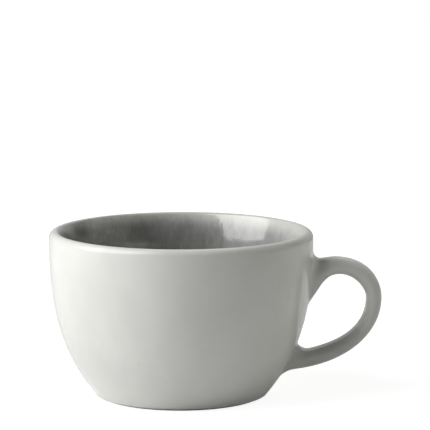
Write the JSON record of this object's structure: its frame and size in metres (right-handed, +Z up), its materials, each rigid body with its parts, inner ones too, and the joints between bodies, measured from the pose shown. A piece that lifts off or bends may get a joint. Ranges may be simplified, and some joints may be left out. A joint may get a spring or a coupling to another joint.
{
  "type": "cappuccino cup",
  "caption": "Round-bellied stoneware cappuccino cup with a rolled lip, an ear-shaped strap handle and a bare foot ring, glazed white outside and mottled grey inside.",
  "frame": {"origin": "on the table plane, midway between the bowl's far side and the handle's tip", "axes": "+X from the bowl towards the handle, +Z up along the bowl's axis, +Y across"},
  "size_m": [0.126, 0.1, 0.063],
  "materials": {
    "bare_stoneware": "matte",
    "slip": "matte",
    "white_glaze": "satin gloss",
    "grey_glaze": "gloss"
  },
  "bodies": {
    "root": {"clay_body": "bare_stoneware", "clay_handle": "bare_stoneware", "upper_slip_joint": "slip", "lower_slip_joint": "slip", "outer_glaze": "white_glaze", "inner_glaze": "grey_glaze", "base_glaze": "white_glaze"}
  },
  "joints": []
}
